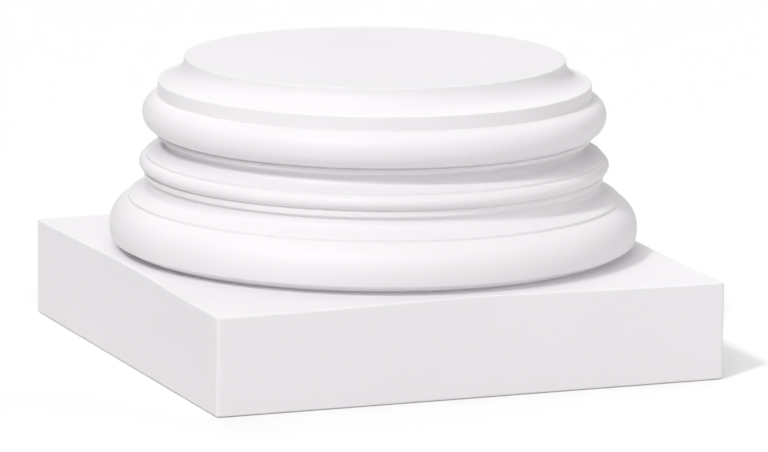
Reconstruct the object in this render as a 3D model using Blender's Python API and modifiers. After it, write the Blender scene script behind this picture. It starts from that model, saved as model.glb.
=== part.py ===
"""Attic column base: a square plinth and a turned base moulded as one body.

Units are metres, +Z is up, and the origin is at the centre of the underside.
The turned part is one profile, described from the seat at the top down to
the low fillet that stands on the plinth, and swept round the vertical axis.
"""

import math

import bmesh
import bpy

# ---------------------------------------------------------------- dimensions
MM = 0.001

PLINTH_SIDE = 310.0 * MM        # square slab, side
PLINTH_HEIGHT = 56.4 * MM       # square slab, height
PLINTH_EDGE = 1.6 * MM          # softened edges of the cast slab

TOTAL_HEIGHT = 171.2 * MM       # underside to the flat seat of the shaft
SEAT_RADIUS = 111.3 * MM        # flat round seat
SEAT_EDGE = 0.8 * MM            # small round on its rim

CAVETTO_REACH = 17.0 * MM       # half axes of the elliptical hollow that
CAVETTO_DROP = 13.05 * MM       # flares from the seat to the fillet
FILLET_RADIUS = 126.5 * MM      # upright band over the upper torus

# a rounded moulding's section: centre radius, centre height, outward reach,
# rise above the centre and fall below it
UPPER_TORUS = (125.3 * MM, 139.0 * MM, 10.1 * MM, 10.1 * MM, 11.0 * MM)
UPPER_TORUS_END = 127.6 * MM    # radius where it stops, underneath
BEAD = (133.3 * MM, 109.5 * MM, 3.9 * MM, 3.9 * MM, 3.9 * MM)
BEAD_START = 134.0 * MM
BEAD_END = 134.8 * MM
LOWER_TORUS = (137.9 * MM, 73.0 * MM, 16.5 * MM, 16.5 * MM, 16.5 * MM)
LOWER_TORUS_START = 144.15 * MM
LOWER_TORUS_END = 151.75 * MM   # its lower arris

QUIRK_A = (125.8 * MM, 127.5 * MM)      # fine groove under the upper torus
LISTEL_A_RADIUS = 126.9 * MM            # thin upright band under the groove
LISTEL_A_TOP = 126.8 * MM
LISTEL_A_LOW = 124.3 * MM
SCOTIA_A_DEEP = 121.7 * MM              # least radius of the upper hollow
SCOTIA_A_TOP = 122.9 * MM               # height of its upper inner corner
SCOTIA_A_LIP = (133.6 * MM, 115.15 * MM)
SCOTIA_A_SLOPE = 15.1                   # degrees, of its long lower face
SCOTIA_A_TURN = 2.0 * MM                # how far the inner turn reaches

QUIRK_B = (133.3 * MM, 105.0 * MM)      # fine groove under the bead
LISTEL_B_RADIUS = 134.1 * MM
LISTEL_B_TOP = 104.35 * MM
LISTEL_B_LOW = 101.1 * MM
SCOTIA_B_DEEP = 132.2 * MM              # least radius of the lower hollow
SCOTIA_B_TOP = 100.5 * MM
SCOTIA_B_LIP = (143.6 * MM, 90.25 * MM)
SCOTIA_B_SLOPE = 23.3
SCOTIA_B_TURN = 3.2 * MM

GROOVE = (144.4 * MM, 60.1 * MM)        # bottom of the V groove on the slab's side
FOOT_RADIUS = 148.6 * MM                # low upright fillet that stands on the slab
FOOT_LIP = 59.8 * MM                    # height of its upper lip
FOOT_SINK = 12.0 * MM                   # how far the turned part reaches into the slab

STEPS = 72                              # facets round the axis


# ------------------------------------------------------------------ helpers
def moulding(section, start_r, end_r, count):
    """Points round a bulging section, from start_r on its top to end_r below."""
    centre_r, centre_z, reach, rise, fall = section
    start = math.acos((start_r - centre_r) / reach)
    end = -math.acos((end_r - centre_r) / reach)
    points = []
    for i in range(count + 1):
        a = start + (end - start) * i / count
        tall = rise if a > 0 else fall
        points.append((centre_r + reach * math.cos(a), centre_z + tall * math.sin(a)))
    return points


def turn(before, corner, after, reach, count):
    """The corner between two straight runs, rounded over reach each way."""
    def along(target):
        k = reach / math.dist(corner, target)
        return [corner[i] + (target[i] - corner[i]) * k for i in (0, 1)]
    a, b = along(before), along(after)
    points = []
    for i in range(count + 1):
        t = i / count
        points.append(tuple((1 - t) ** 2 * a[c] + 2 * t * (1 - t) * corner[c] + t * t * b[c]
                            for c in (0, 1)))
    return points


def hollow(edge, deep_r, top_z, lip, slope, reach):
    """A scotia: in under the band above, down, then out along a slope to its lip."""
    upper = (deep_r, top_z)
    lower = (deep_r, lip[1] + (lip[0] - deep_r) * math.tan(math.radians(slope)))
    return ([edge] + turn(edge, upper, lower, 0.7 * MM, 2)
            + turn(upper, lower, lip, reach, 3) + [lip])


def base_profile():
    """The outline of the turned part, from its axis at the top down."""
    pts = [(0.0, TOTAL_HEIGHT)]
    pts.append((SEAT_RADIUS - SEAT_EDGE, TOTAL_HEIGHT))

    # cavetto: a quarter ellipse, upright under the rim of the seat
    start_z = TOTAL_HEIGHT - SEAT_EDGE
    end = math.acos(1.0 - (FILLET_RADIUS - 0.3 * MM - SEAT_RADIUS) / CAVETTO_REACH)
    for i in range(8):
        a = end * i / 7
        pts.append((SEAT_RADIUS + CAVETTO_REACH * (1.0 - math.cos(a)),
                    start_z - CAVETTO_DROP * math.sin(a)))

    # upright fillet, from its upper arris to the upper torus
    pts.append((FILLET_RADIUS, pts[-1][1] - 0.5 * MM))
    pts += moulding(UPPER_TORUS, FILLET_RADIUS, UPPER_TORUS_END, 10)

    # fine groove, listel, upper scotia and its small step to the bead
    pts += [QUIRK_A, (LISTEL_A_RADIUS, LISTEL_A_TOP)]
    pts += hollow((LISTEL_A_RADIUS, LISTEL_A_LOW), SCOTIA_A_DEEP, SCOTIA_A_TOP,
                  SCOTIA_A_LIP, SCOTIA_A_SLOPE, SCOTIA_A_TURN)
    pts += moulding(BEAD, BEAD_START, BEAD_END, 6)

    # fine groove, listel, lower scotia and its small step to the lower torus
    pts += [QUIRK_B, (LISTEL_B_RADIUS, LISTEL_B_TOP)]
    pts += hollow((LISTEL_B_RADIUS, LISTEL_B_LOW), SCOTIA_B_DEEP, SCOTIA_B_TOP,
                  SCOTIA_B_LIP, SCOTIA_B_SLOPE, SCOTIA_B_TURN)
    pts += moulding(LOWER_TORUS, LOWER_TORUS_START, LOWER_TORUS_END, 10)

    # V groove under the lower arris, and the low fillet down into the slab
    pts.append(GROOVE)
    pts.append((FOOT_RADIUS, FOOT_LIP))
    pts.append((FOOT_RADIUS, PLINTH_HEIGHT - FOOT_SINK))
    pts.append((0.0, PLINTH_HEIGHT - FOOT_SINK))
    return pts


def plaster_white():
    mat = bpy.data.materials.new("primed_white")
    mat.use_nodes = True
    bsdf = mat.node_tree.nodes["Principled BSDF"]
    bsdf.inputs["Base Color"].default_value = (0.86, 0.855, 0.865, 1.0)
    bsdf.inputs["Roughness"].default_value = 0.5
    bsdf.inputs["Metallic"].default_value = 0.0
    mat.diffuse_color = (0.86, 0.855, 0.865, 1.0)
    return mat


def shade(mesh, degrees):
    mesh.shade_smooth()
    mesh.set_sharp_from_angle(angle=math.radians(degrees))


# -------------------------------------------------------------------- model
def main():
    for old in list(bpy.data.objects):
        bpy.data.objects.remove(old, do_unlink=True)

    parts = bpy.data.collections.new("column_base_parts")
    cutters = bpy.data.collections.new("helpers")
    bpy.context.scene.collection.children.link(parts)
    bpy.context.scene.collection.children.link(cutters)

    # the turned part: an open profile swept once round the axis
    mesh = bpy.data.meshes.new("turned_profile")
    bm = bmesh.new()
    verts = [bm.verts.new((r, 0.0, z)) for r, z in base_profile()]
    for a, b in zip(verts, verts[1:]):
        bm.edges.new((a, b))
    bm.to_mesh(mesh)
    bm.free()
    turned = bpy.data.objects.new("turned_form", mesh)
    cutters.objects.link(turned)
    screw = turned.modifiers.new("Sweep", "SCREW")
    screw.axis = "Z"
    screw.angle = math.radians(360.0)
    screw.steps = STEPS
    screw.render_steps = STEPS
    screw.use_merge_vertices = True
    screw.merge_threshold = 0.00002
    turned.hide_render = True
    turned.display_type = "WIRE"

    # the slab, with softened edges, takes the turned part by a union
    bpy.ops.mesh.primitive_cube_add(size=1.0, location=(0.0, 0.0, PLINTH_HEIGHT / 2))
    base = bpy.context.object
    base.name = "column_base"
    base.data.name = "column_base"
    for coll in list(base.users_collection):
        coll.objects.unlink(base)
    parts.objects.link(base)
    for v in base.data.vertices:
        v.co.x *= PLINTH_SIDE
        v.co.y *= PLINTH_SIDE
        v.co.z *= PLINTH_HEIGHT

    bevel = base.modifiers.new("Softened edges", "BEVEL")
    bevel.width = PLINTH_EDGE
    bevel.segments = 3
    bevel.limit_method = "ANGLE"
    bevel.angle_limit = math.radians(40.0)

    union = base.modifiers.new("Turned part", "BOOLEAN")
    union.operation = "UNION"
    union.solver = "EXACT"
    union.object = turned

    base.data.materials.append(plaster_white())
    shade(base.data, 35.0)


main()
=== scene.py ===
import math

import bmesh
import bpy
from mathutils import Matrix, Vector, noise


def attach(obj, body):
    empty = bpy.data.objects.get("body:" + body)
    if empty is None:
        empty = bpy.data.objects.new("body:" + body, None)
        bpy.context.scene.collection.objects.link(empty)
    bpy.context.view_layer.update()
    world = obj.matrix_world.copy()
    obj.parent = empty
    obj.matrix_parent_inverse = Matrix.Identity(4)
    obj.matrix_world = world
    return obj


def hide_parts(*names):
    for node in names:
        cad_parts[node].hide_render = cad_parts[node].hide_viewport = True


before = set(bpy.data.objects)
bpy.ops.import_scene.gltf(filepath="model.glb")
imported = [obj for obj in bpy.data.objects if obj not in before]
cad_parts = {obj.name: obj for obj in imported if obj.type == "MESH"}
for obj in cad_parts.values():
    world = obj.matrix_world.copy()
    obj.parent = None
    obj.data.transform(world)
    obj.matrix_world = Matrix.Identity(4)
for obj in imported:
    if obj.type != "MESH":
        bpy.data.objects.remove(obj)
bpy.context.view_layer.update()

MM = 0.001


# ============================================================ the turned form
# The CAD part's driving sizes in millimetres, with the finer turns that only the
# finish shows: the lower torus's fuller underside and the slab's slightly swelling top.
PLINTH_HALF = 155.0
PLINTH_H = 56.4
PLINTH_EDGE = 1.0

TOTAL_H = 171.2
SEAT_R = 111.3
CAVETTO_REACH, CAVETTO_DROP = 17.0, 13.05
FILLET_R = 126.5
TORUS_A = (125.3, 139.0, 10.1, 10.1, 11.0)     # centre, reach, rise and fall
TORUS_A_END = 127.6
QUIRK_A = (126.0, 127.6)
LISTEL_A_R, LISTEL_A_TOP, LISTEL_A_LOW = 126.9, 127.0, 124.9
SCOTIA_A_DEEP, SCOTIA_A_TOP, LIP_A, SLOPE_A = 121.7, 123.5, (133.6, 115.15), 15.1
BEAD = (133.3, 109.5, 3.9, 3.9, 3.9)
BEAD_START, BEAD_END = 133.45, 134.8
QUIRK_B = (133.5, 105.0)
LISTEL_B_R, LISTEL_B_TOP, LISTEL_B_LOW = 134.1, 104.35, 101.1
SCOTIA_B_DEEP, SCOTIA_B_TOP, LIP_B, SLOPE_B = 132.2, 100.5, (143.6, 90.25), 23.3
TORUS_B = (137.9, 73.0, 16.5, 16.5, 21.1)
TORUS_B_START, TORUS_B_END = 143.5, 153.2
GROOVE = (144.7, 60.5)
FOOT_R, FOOT_LIP_Z = 148.6, 59.3               # lip of the groove, where the slab's top starts
FOOT_SPREAD = 150.2
SWELL, SWELL_REACH = 2.7, 18.0                 # how the slab's top rises to that lip


def oval(form, start, end, step):
    """Section points on a moulding, angles in degrees, about step mm apart."""
    rc, zc, reach, rise, fall = form
    n = max(3, int(abs(math.radians(end - start)) * max(reach, rise) / step))
    out = []
    for i in range(n + 1):
        a = math.radians(start + (end - start) * i / n)
        tall = rise if a > 0 else fall
        out.append((rc + reach * math.cos(a), zc + tall * math.sin(a)))
    return out


def reach_angle(form, r):
    return math.degrees(math.acos((r - form[0]) / form[2]))


def line(a, b, step):
    n = max(1, int(math.dist(a, b) / step))
    return [(a[0] + (b[0] - a[0]) * i / n, a[1] + (b[1] - a[1]) * i / n) for i in range(n + 1)]


def walk(points, start, direction, distance):
    """The point that lies distance mm along the polyline from points[start]."""
    i, left = start, distance
    while 0 <= i + direction < len(points):
        d = math.dist(points[i], points[i + direction])
        if d >= left:
            t = left / d
            a, b = points[i], points[i + direction]
            return (a[0] + (b[0] - a[0]) * t, a[1] + (b[1] - a[1]) * t), i + direction
        left -= d
        i += direction
    return points[i], i


def soften(runs, radii):
    """Joins the runs end to start and rounds each joint over radii[k] mm each way."""
    points, joints = list(runs[0]), []
    for run in runs[1:]:
        joints.append(len(points) - 1)
        points += run[1:]
    out, last = [], 0
    for index, rad in zip(joints, radii):
        before, ib = walk(points, index, -1, rad)
        after, ia = walk(points, index, 1, rad)
        while last <= ib:
            out.append(points[last])
            last += 1
        out.append(before)
        corner = points[index]
        n = 4 if rad < 1.0 else 6
        for i in range(1, n):
            t = i / n
            out.append(tuple((1 - t) ** 2 * before[c] + 2 * t * (1 - t) * corner[c] + t * t * after[c]
                             for c in (0, 1)))
        out.append(after)
        last = ia
    out += points[last:]
    clean = [out[0]]
    for p in out[1:]:
        if math.dist(p, clean[-1]) > 0.03:
            clean.append(p)
    return clean


def turned_profile():
    """The outline from the rim of the seat down to the foot on the slab."""
    runs = [line((SEAT_R - 9.0, TOTAL_H), (SEAT_R, TOTAL_H), 1.5)]
    radii = []

    def then(run, rounding):
        """Adds a run that starts where the last one ended."""
        if math.dist(runs[-1][-1], run[0]) > 1e-6:
            run = [runs[-1][-1]] + run
        runs.append(run)
        radii.append(rounding)

    # cavetto: upright under the rim, and flaring to the arris of the fillet
    start_z = TOTAL_H - 0.8
    end = math.acos(1.0 - (FILLET_R - 0.3 - SEAT_R) / CAVETTO_REACH)
    flare = [(SEAT_R, TOTAL_H)]
    for i in range(25):
        a = end * i / 24
        flare.append((SEAT_R + CAVETTO_REACH * (1 - math.cos(a)), start_z - CAVETTO_DROP * math.sin(a)))
    rim_z = flare[-1][1] - 0.04
    flare.append((FILLET_R, rim_z))
    then(flare, 0.7)

    top = reach_angle(TORUS_A, FILLET_R)
    join_z = TORUS_A[1] + TORUS_A[3] * math.sin(math.radians(top))
    then(line((FILLET_R, rim_z), (FILLET_R, join_z), 1.2), 0.6)
    then(oval(TORUS_A, top, -reach_angle(TORUS_A, TORUS_A_END), 0.9), 0.4)

    # quirk, listel and upper hollow
    then([QUIRK_A], 0.25)
    then([(LISTEL_A_R, LISTEL_A_TOP)], 0.25)
    then([(LISTEL_A_R, LISTEL_A_LOW)], 0.3)
    then([(SCOTIA_A_DEEP, SCOTIA_A_TOP)], 0.6)
    heel = LIP_A[1] + (LIP_A[0] - SCOTIA_A_DEEP) * math.tan(math.radians(SLOPE_A))
    then([(SCOTIA_A_DEEP, heel)], 1.6)
    then(line((SCOTIA_A_DEEP, heel), LIP_A, 1.2), 2.0)

    # bead
    top = reach_angle(BEAD, BEAD_START)
    bead = oval(BEAD, top, -reach_angle(BEAD, BEAD_END), 0.55)
    then(line(LIP_A, bead[0], 0.9), 0.3)
    then(bead, 0.15)

    # quirk, listel and lower hollow
    then([QUIRK_B], 0.25)
    then([(LISTEL_B_R, LISTEL_B_TOP)], 0.2)
    then([(LISTEL_B_R, LISTEL_B_LOW)], 0.4)
    then([(SCOTIA_B_DEEP, SCOTIA_B_TOP)], 0.8)
    heel = LIP_B[1] + (LIP_B[0] - SCOTIA_B_DEEP) * math.tan(math.radians(SLOPE_B))
    then([(SCOTIA_B_DEEP, heel)], 0.7)
    then(line((SCOTIA_B_DEEP, heel), LIP_B, 1.2), 3.2)

    # lower torus down to its arris, the groove, and the lip that the slab rises to
    top = reach_angle(TORUS_B, TORUS_B_START)
    torus = oval(TORUS_B, top, -reach_angle(TORUS_B, TORUS_B_END), 1.0)
    then(line(LIP_B, torus[0], 0.9), 0.3)
    then(torus, 0.15)
    then([GROOVE], 0.3)
    then([(FOOT_R, FOOT_LIP_Z)], 0.5)
    then([(FOOT_SPREAD, PLINTH_H + SWELL)], 0.35)
    return soften(runs, radii)


# =================================================================== the mesh
CORNER_R = 1.8                 # rounding of the plinth's upright corners


def directions():
    """Angles round the axis: even steps, and close ones at the four corners."""
    even = [i * 88.4 / 70 - 44.2 for i in range(71)]
    fine = [44.2 + (i + 1) * 1.6 / 12 for i in range(11)]
    out = []
    for q in range(4):
        out += [math.radians(90.0 * q + a) for a in even]
        out += [math.radians(90.0 * q + a) for a in fine]
    return out


def square_point(angle, half, corner):
    """Where a ray at that angle meets a square with rounded corners."""
    c, s = math.cos(angle), math.sin(angle)
    m = max(abs(c), abs(s))
    x, y = c / m * half, s / m * half
    inner = half - corner
    if corner > 0 and abs(x) > inner and abs(y) > inner:
        cx, cy = math.copysign(inner, x), math.copysign(inner, y)
        b = c * cx + s * cy
        disc = b * b - (cx * cx + cy * cy - corner * corner)
        if disc > 0:
            t = b + math.sqrt(disc)
            return c * t, s * t
    return x, y


def lift(x, y, z):
    """The slab's top swells a little towards the foot of the turned part."""
    away = max(0.0, math.hypot(x, y) - FOOT_SPREAD)
    return SWELL * math.exp(-away / SWELL_REACH) * min(1.0, z / PLINTH_H)


def build_mesh():
    angles = directions()
    rings = []                                    # each ring: list of (x, y, z)

    def circle(r, z):
        rings.append([(r * math.cos(a), r * math.sin(a), z) for a in angles])

    for r in (22.0, 48.0, 74.0, 92.0):
        circle(r, TOTAL_H)
    for r, z in turned_profile():
        circle(r, z)

    # slab: its top face from the foot of the turned part out to the rounded square
    def mixed(t, half, z, corner):
        ring = []
        for a in angles:
            sx, sy = square_point(a, half, corner)
            x = FOOT_SPREAD * math.cos(a) * (1 - t) + sx * t
            y = FOOT_SPREAD * math.sin(a) * (1 - t) + sy * t
            ring.append((x, y, z + lift(x, y, z)))
        rings.append(ring)

    e = PLINTH_EDGE
    for t in (0.05, 0.11, 0.18, 0.27, 0.38, 0.5, 0.66, 0.84):
        mixed(t, PLINTH_HALF - e, PLINTH_H, CORNER_R)
    mixed(1.0, PLINTH_HALF - e - 0.12, PLINTH_H, CORNER_R)
    for i in range(7):
        a = math.pi / 2 * i / 6
        mixed(1.0, PLINTH_HALF - e + e * math.sin(a), PLINTH_H - e + e * math.cos(a), CORNER_R)
    mixed(1.0, PLINTH_HALF, PLINTH_H - e - 0.12, CORNER_R)
    for t in (0.12, 0.3, 0.5, 0.7, 0.88):
        mixed(1.0, PLINTH_HALF, PLINTH_H - e - (PLINTH_H - 2 * e) * t, CORNER_R)
    mixed(1.0, PLINTH_HALF, e + 0.12, CORNER_R)
    for i in range(7):
        a = math.pi / 2 * i / 6
        mixed(1.0, PLINTH_HALF - e + e * math.cos(a), e - e * math.sin(a), CORNER_R)
    for k in (0.995, 0.8, 0.45, 0.15):
        mixed(1.0, (PLINTH_HALF - e) * k, 0.0, CORNER_R * k)

    bm = bmesh.new()
    grid = [[bm.verts.new((x * MM, y * MM, z * MM)) for x, y, z in ring] for ring in rings]
    n = len(angles)
    for upper, lower in zip(grid, grid[1:]):
        for i in range(n):
            j = (i + 1) % n
            bm.faces.new((upper[i], lower[i], lower[j], upper[j]))
    top = bm.verts.new((0, 0, TOTAL_H * MM))
    low = bm.verts.new((0, 0, 0))
    for i in range(n):
        j = (i + 1) % n
        bm.faces.new((top, grid[0][i], grid[0][j]))
        bm.faces.new((low, grid[-1][j], grid[-1][i]))
    bm.normal_update()

    # the faint waviness of a cast and sprayed surface: a few hundredths of a millimetre
    for v in bm.verts:
        if v.co.z < 2.5 * MM or v.normal.length < 0.5:
            continue
        p = v.co * 26.0
        w = noise.noise(p) * 0.6 + noise.noise(p * 2.3 + Vector((7.1, 3.3, 1.7))) * 0.4
        near_side = max(abs(v.co.x), abs(v.co.y)) > (PLINTH_HALF - 0.4) * MM
        depth = 0.05 * MM
        v.co += v.normal * (-abs(w) * depth if near_side else (w - 0.5) * depth)
    mesh = bpy.data.meshes.new("column_base_finish")
    bm.to_mesh(mesh)
    bm.free()
    mesh.shade_smooth()
    return mesh


body = bpy.data.objects.new("column_base_finish", build_mesh())
bpy.context.scene.collection.objects.link(body)
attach(body, "root")
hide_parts("column_base")


# ================================================================== materials
def node(tree, kind, at, **values):
    n = tree.nodes.new(kind)
    n.location = at
    for key, value in values.items():
        setattr(n, key, value)
    return n


def primer_white():
    """Sprayed satin primer over a dense foam casting."""
    mat = bpy.data.materials.new("primed_white")
    mat.use_nodes = True
    tree = mat.node_tree
    tree.nodes.clear()
    out = node(tree, "ShaderNodeOutputMaterial", (900, 0))
    bsdf = node(tree, "ShaderNodeBsdfPrincipled", (620, 0))
    tree.links.new(bsdf.outputs[0], out.inputs[0])
    coords = node(tree, "ShaderNodeTexCoord", (-1100, 0))

    broad = node(tree, "ShaderNodeTexNoise", (-800, 320))
    broad.inputs["Scale"].default_value = 9.0
    broad.inputs["Detail"].default_value = 3.0
    tree.links.new(coords.outputs["Object"], broad.inputs["Vector"])
    speck = node(tree, "ShaderNodeTexNoise", (-800, 60))
    speck.inputs["Scale"].default_value = 420.0
    speck.inputs["Detail"].default_value = 4.0
    tree.links.new(coords.outputs["Object"], speck.inputs["Vector"])
    blend = node(tree, "ShaderNodeMix", (-560, 220), data_type="FLOAT")
    blend.inputs["Factor"].default_value = 0.35
    tree.links.new(broad.outputs["Fac"], blend.inputs[2])
    tree.links.new(speck.outputs["Fac"], blend.inputs[3])
    tint = node(tree, "ShaderNodeValToRGB", (-320, 260))
    tint.color_ramp.elements[0].position = 0.30
    tint.color_ramp.elements[0].color = (0.848, 0.827, 0.848, 1)
    tint.color_ramp.elements[1].position = 0.70
    tint.color_ramp.elements[1].color = (0.874, 0.853, 0.874, 1)
    tree.links.new(blend.outputs[0], tint.inputs["Fac"])
    tree.links.new(tint.outputs["Color"], bsdf.inputs["Base Color"])

    rough = node(tree, "ShaderNodeMapRange", (-320, 0))
    rough.inputs["From Min"].default_value = 0.3
    rough.inputs["From Max"].default_value = 0.7
    rough.inputs["To Min"].default_value = 0.46
    rough.inputs["To Max"].default_value = 0.58
    tree.links.new(blend.outputs[0], rough.inputs["Value"])
    tree.links.new(rough.outputs["Result"], bsdf.inputs["Roughness"])

    peel = node(tree, "ShaderNodeTexNoise", (-800, -220))
    peel.inputs["Scale"].default_value = 260.0
    peel.inputs["Detail"].default_value = 2.0
    tree.links.new(coords.outputs["Object"], peel.inputs["Vector"])
    grain = node(tree, "ShaderNodeTexNoise", (-800, -460))
    grain.inputs["Scale"].default_value = 1500.0
    grain.inputs["Detail"].default_value = 2.0
    tree.links.new(coords.outputs["Object"], grain.inputs["Vector"])
    bump_a = node(tree, "ShaderNodeBump", (60, -240))
    bump_a.inputs["Strength"].default_value = 0.12
    bump_a.inputs["Distance"].default_value = 0.0004
    tree.links.new(peel.outputs["Fac"], bump_a.inputs["Height"])
    bump_b = node(tree, "ShaderNodeBump", (300, -300))
    bump_b.inputs["Strength"].default_value = 0.10
    bump_b.inputs["Distance"].default_value = 0.0001
    tree.links.new(grain.outputs["Fac"], bump_b.inputs["Height"])
    tree.links.new(bump_a.outputs["Normal"], bump_b.inputs["Normal"])
    tree.links.new(bump_b.outputs["Normal"], bsdf.inputs["Normal"])
    bsdf.inputs["Specular IOR Level"].default_value = 0.4
    return mat


white = primer_white()
body.data.materials.append(white)


# ====================================================================== stage
def ground(name, height, colour):
    """A wide plain sheet under the object."""
    mesh = bpy.data.meshes.new(name)
    bm = bmesh.new()
    bmesh.ops.create_grid(bm, x_segments=2, y_segments=2, size=30.0)
    bm.to_mesh(mesh)
    bm.free()
    sheet = bpy.data.objects.new(name, mesh)
    sheet.location = (0, 0, height)
    bpy.context.scene.collection.objects.link(sheet)
    mat = bpy.data.materials.new(name + "_matt")
    mat.use_nodes = True
    shader = mat.node_tree.nodes["Principled BSDF"]
    shader.inputs["Base Color"].default_value = colour
    shader.inputs["Roughness"].default_value = 0.7
    shader.inputs["Specular IOR Level"].default_value = 0.2
    mesh.materials.append(mat)
    return sheet


# the white floor that shows, and a pale grey sheet under it that gives the
# object its light from below, which a white floor would make too strong
floor = ground("floor", -0.0003, (0.93, 0.925, 0.93, 1))
floor.visible_diffuse = False
floor.visible_shadow = False
under_sheet = ground("under_sheet", -0.0006, (0.745, 0.74, 0.745, 1))
under_sheet.visible_glossy = False

# a white surround well behind everything, seen in low views where the floor ends
sky_mesh = bpy.data.meshes.new("surround")
bm = bmesh.new()
bmesh.ops.create_uvsphere(bm, u_segments=48, v_segments=24, radius=8.0)
bmesh.ops.reverse_faces(bm, faces=bm.faces)
bm.to_mesh(sky_mesh)
bm.free()
sky_mesh.shade_smooth()
surround = bpy.data.objects.new("surround", sky_mesh)
bpy.context.scene.collection.objects.link(surround)
sky_mat = bpy.data.materials.new("surround_white")
sky_mat.use_nodes = True
sb = sky_mat.node_tree.nodes["Principled BSDF"]
sb.inputs["Base Color"].default_value = (0, 0, 0, 1)
sb.inputs["Specular IOR Level"].default_value = 0.0
sb.inputs["Emission Color"].default_value = (1, 0.995, 1, 1)
sb.inputs["Emission Strength"].default_value = 0.97
sky_mat.cycles.emission_sampling = "NONE"
sky_mesh.materials.append(sky_mat)
surround.visible_shadow = False
surround.visible_diffuse = False
surround.visible_glossy = False
surround.visible_transmission = False

world = bpy.data.worlds.new("studio")
bpy.context.scene.world = world
world.use_nodes = True
world.node_tree.nodes["Background"].inputs["Color"].default_value = (1, 1, 1, 1)
world.node_tree.nodes["Background"].inputs["Strength"].default_value = 0.02


def sun(name, azimuth, elevation, strength, spread, colour=(1, 1, 1)):
    """A soft distant light from that direction; azimuth is measured from +X."""
    data = bpy.data.lights.new(name, "SUN")
    data.energy = strength
    data.angle = math.radians(spread)
    data.color = colour
    lamp = bpy.data.objects.new(name, data)
    a, e = math.radians(azimuth), math.radians(elevation)
    way = Vector((math.cos(a) * math.cos(e), math.sin(a) * math.cos(e), math.sin(e)))
    lamp.rotation_euler = way.to_track_quat("Z", "Y").to_euler()
    lamp.location = way * 3.0
    bpy.context.scene.collection.objects.link(lamp)
    return lamp


# one fairly crisp key from the front left, and large soft panels for the rest;
# azimuths are in the object's frame, where the camera stands at -112
sun("key", -146, 46, 1.38, 8.5)
sun("front_panel", -112, 40, 1.14, 40)
sun("left_high_panel", -202, 68, 0.48, 40)
sun("back_left_panel", -247, 40, 0.34, 40)
sun("back_panel", -292, 40, 0.42, 40)
sun("back_high_panel", -292, 68, 0.34, 40)
sun("right_panel", 23, 40, 0.35, 40)
sun("right_low_panel", -22, 12, 0.50, 30)
sun("front_right_panel", -22, 40, 0.17, 40)


# ===================================================================== camera
# Solved from the plinth's edges and the round arcs: angles in degrees, the
# focal length in pixels of the 768-pixel frame, distances in half plinth sides.
CAM_AZ, CAM_EL, CAM_ROLL = -22.0829, 10.8517, 0.6421
CAM_FOCAL, CAM_DIST = 6039.68, 22.8521
CAM_AT = (372.824, 266.593)
cam_data = bpy.data.cameras.new("camera")
cam_data.sensor_fit = "HORIZONTAL"
cam_data.sensor_width = 36.0
cam_data.lens = CAM_FOCAL * 36.0 / 768.0
cam_data.clip_start = 0.05
cam_data.clip_end = 200.0
cam = bpy.data.objects.new("camera", cam_data)
az, el, roll = (math.radians(v) for v in (CAM_AZ, CAM_EL, CAM_ROLL))
back = Vector((math.sin(az) * math.cos(el), -math.cos(az) * math.cos(el), math.sin(el)))
right = Vector((math.cos(az), math.sin(az), 0))
up = back.cross(right)
right_r = math.cos(roll) * right + math.sin(roll) * up
up_r = -math.sin(roll) * right + math.cos(roll) * up
half = PLINTH_HALF * MM
target = Vector((0, 0, 0.3 * half))
dist = CAM_DIST * half
place = (target + back * dist - right_r * ((CAM_AT[0] - 384.0) / CAM_FOCAL * dist)
         + up_r * ((CAM_AT[1] - 226.0) / CAM_FOCAL * dist))
cam.matrix_world = Matrix((
    (right_r.x, up_r.x, back.x, place.x),
    (right_r.y, up_r.y, back.y, place.y),
    (right_r.z, up_r.z, back.z, place.z),
    (0, 0, 0, 1)))
bpy.context.scene.collection.objects.link(cam)
bpy.context.scene.camera = cam

view = bpy.context.scene.view_settings
view.view_transform = "Standard"
view.look = "None"
view.exposure = 0.0
view.gamma = 1.0


# ======================================================================= update
bpy.context.view_layer.update()
